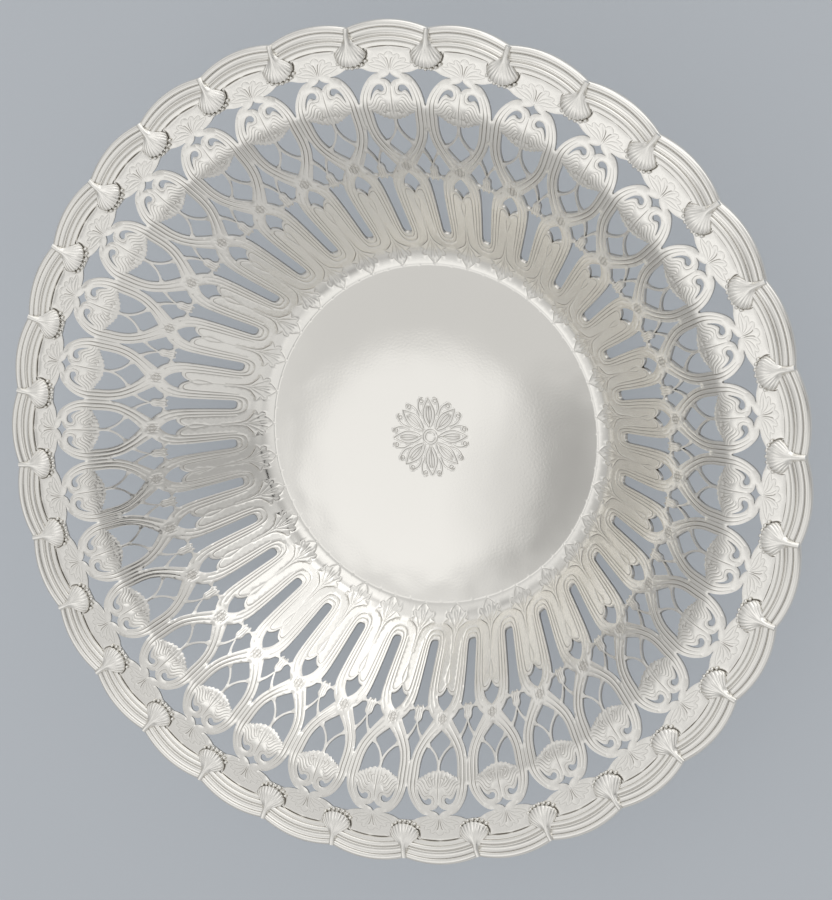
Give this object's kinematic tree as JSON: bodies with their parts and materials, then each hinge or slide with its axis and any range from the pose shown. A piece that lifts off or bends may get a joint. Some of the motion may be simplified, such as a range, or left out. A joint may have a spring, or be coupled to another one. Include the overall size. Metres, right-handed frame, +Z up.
{
  "type": "centerpiece bowl",
  "caption": "Round shallow pierced silver bowl with crossing strapwork ovals, long slots, flat well, reeded scalloped border with applied shells, and low ring foot.",
  "frame": {"origin": "centre of the flat underside of the ring foot, at the lowest point of the bowl", "axes": "+Z up out of the mouth of the bowl, +X and +Y each through a notch of the scalloped rim"},
  "size_m": [0.341, 0.341, 0.0752],
  "materials": {
    "bowl_silver": "polished sterling silver, pierced and engraved, darker in the engraved lines",
    "foot_silver": "plain polished silver",
    "border_silver": "cast polished silver with greyed hollows between the reeds",
    "shell_silver": "cast silver, chased ribs"
  },
  "bodies": {
    "root": {"pierced_bowl": "bowl_silver", "foot_ring": "foot_silver", "border_section_01": "border_silver", "border_section_02": "border_silver", "border_section_03": "border_silver", "border_section_04": "border_silver", "border_section_05": "border_silver", "border_section_06": "border_silver", "border_section_07": "border_silver", "border_section_08": "border_silver", "border_section_09": "border_silver", "border_section_10": "border_silver", "border_section_11": "border_silver", "border_section_12": "border_silver", "border_section_13": "border_silver", "border_section_14": "border_silver", "border_section_15": "border_silver", "border_section_16": "border_silver", "rim_shell_01": "shell_silver", "rim_shell_02": "shell_silver", "rim_shell_03": "shell_silver", "rim_shell_04": "shell_silver", "rim_shell_05": "shell_silver", "rim_shell_06": "shell_silver", "rim_shell_07": "shell_silver", "rim_shell_08": "shell_silver", "rim_shell_09": "shell_silver", "rim_shell_10": "shell_silver", "rim_shell_11": "shell_silver", "rim_shell_12": "shell_silver", "rim_shell_13": "shell_silver", "rim_shell_14": "shell_silver", "rim_shell_15": "shell_silver", "rim_shell_16": "shell_silver", "rim_shell_17": "shell_silver", "rim_shell_18": "shell_silver", "rim_shell_19": "shell_silver", "rim_shell_20": "shell_silver", "rim_shell_21": "shell_silver", "rim_shell_22": "shell_silver", "rim_shell_23": "shell_silver", "rim_shell_24": "shell_silver", "rim_shell_25": "shell_silver", "rim_shell_26": "shell_silver", "rim_shell_27": "shell_silver", "rim_shell_28": "shell_silver", "rim_shell_29": "shell_silver", "rim_shell_30": "shell_silver", "rim_shell_31": "shell_silver", "rim_shell_32": "shell_silver"}
  },
  "joints": []
}
